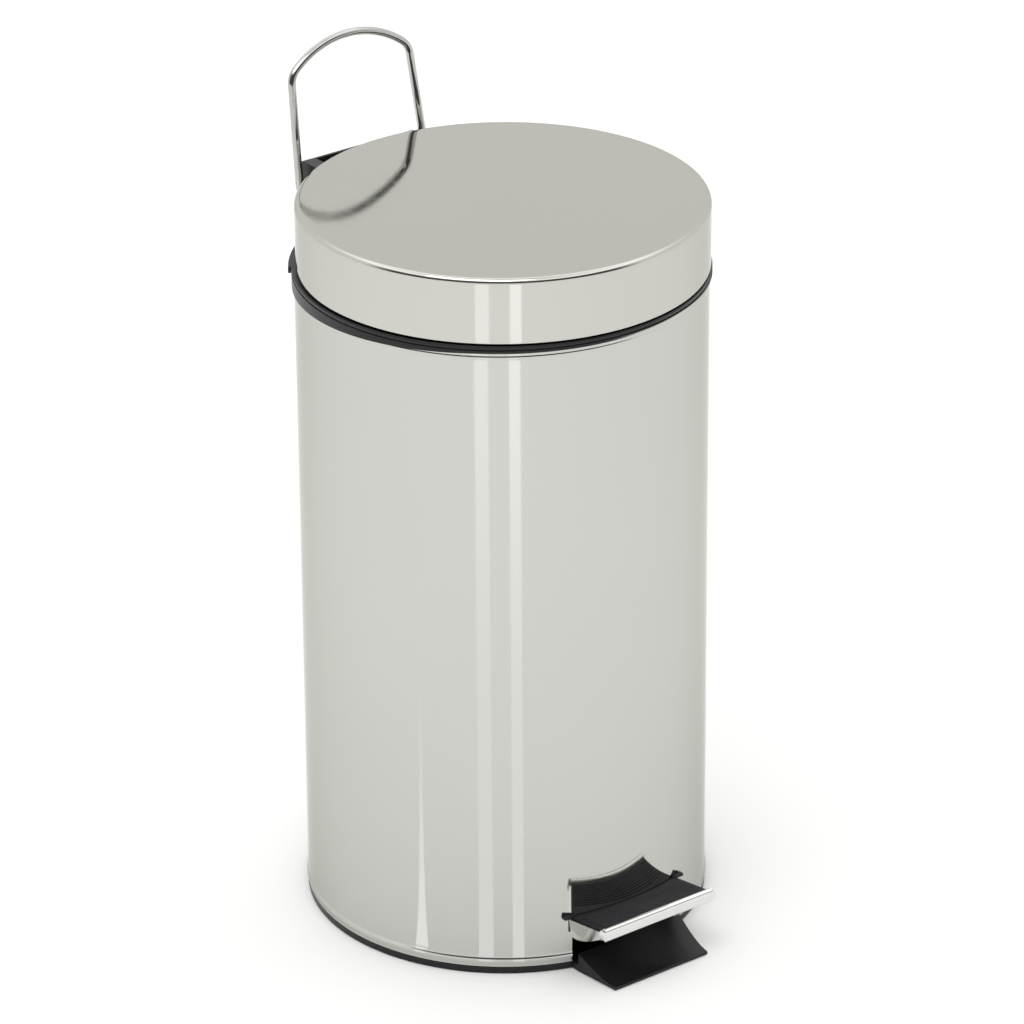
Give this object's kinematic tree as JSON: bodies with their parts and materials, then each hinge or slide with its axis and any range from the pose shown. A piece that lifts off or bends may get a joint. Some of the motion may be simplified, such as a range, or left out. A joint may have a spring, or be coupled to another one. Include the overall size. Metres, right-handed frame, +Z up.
{
  "type": "pedal bin",
  "caption": "Round steel pedal bin: a foot pedal lifts a rod that swings the hinged lid open over a removable inner bucket; wire carry handle at the back.",
  "frame": {"origin": "centre of the body's axis on the floor plane that the rubber feet stand on", "axes": "+Z up, the pedal points along -Y, the hinge and carry handle are at +Y, +X is to the right seen from the pedal side"},
  "size_m": [0.2528, 0.3152, 0.5223],
  "materials": {
    "polished_steel": "mirror-polished stainless steel sheet",
    "chrome": "bright plate",
    "zinc_steel": "zinc-plated, satin",
    "black_plastic": "moulded, fine texture, slight sheen",
    "bucket_plastic": "moulded polypropylene",
    "tread_rubber": "ribbed, matt",
    "rubber": "matt"
  },
  "bodies": {
    "bin": {"base": "black_plastic", "rubber_feet": "rubber", "body_shell": "polished_steel", "top_collar": "black_plastic", "lid_buffers": "rubber", "hinge_housing": "black_plastic", "housing_screws": "zinc_steel", "hinge_pin": "chrome", "hinge_pin_clip": "zinc_steel", "handle_bushes": "black_plastic", "pedal_axle": "zinc_steel", "axle_clips": "zinc_steel", "axle_bracket_left": "zinc_steel", "axle_bracket_right": "zinc_steel", "bracket_screws": "zinc_steel", "rod_guide_lower": "black_plastic", "rod_guide_upper": "black_plastic"},
    "lid": {"lid_shell": "polished_steel", "lid_liner": "black_plastic", "lid_bracket": "zinc_steel"},
    "pedal": {"pedal_lever": "chrome", "pedal_tread": "tread_rubber"},
    "rod": {"push_rod": "zinc_steel", "rod_clips": "zinc_steel"},
    "handle": {"carry_handle": "chrome"},
    "bucket": {"inner_bucket": "bucket_plastic"},
    "bail": {"bucket_bail": "chrome", "bail_grip": "black_plastic"}
  },
  "joints": [
    {"name": "lid_hinge", "type": "hinge", "parent": "bin", "child": "lid", "pos_m": [0, 0.131, 0.443], "axis": [-1, 0, 0], "range_deg": [0, 65]},
    {"name": "pedal_pivot", "type": "hinge", "parent": "bin", "child": "pedal", "pos_m": [0, 0.015, 0.024], "axis": [1, 0, 0], "range_deg": [0, 8.81]},
    {"name": "rod_slide", "type": "slide", "parent": "bin", "child": "rod", "axis": [0, 0, 1], "range_m": [0, 0.01605]},
    {"name": "handle_pivot", "type": "hinge", "parent": "bin", "child": "handle", "pos_m": [0, 0.141, 0.431], "axis": [-1, 0, 0], "range_deg": [0, 165]},
    {"name": "bucket_lift", "type": "slide", "parent": "bin", "child": "bucket", "axis": [0, 0, 1], "range_m": [0, 0.006]},
    {"name": "bail_pivot", "type": "hinge", "parent": "bucket", "child": "bail", "pos_m": [0, 0, 0.4288], "axis": [-1, 0, 0], "range_deg": [0, 8]}
  ],
  "couplings": [
    {"joint": "pedal_pivot", "follows": "lid_hinge", "ratio": 0.13519},
    {"joint": "rod_slide", "follows": "lid_hinge", "m_per_rad": 0.014103}
  ]
}
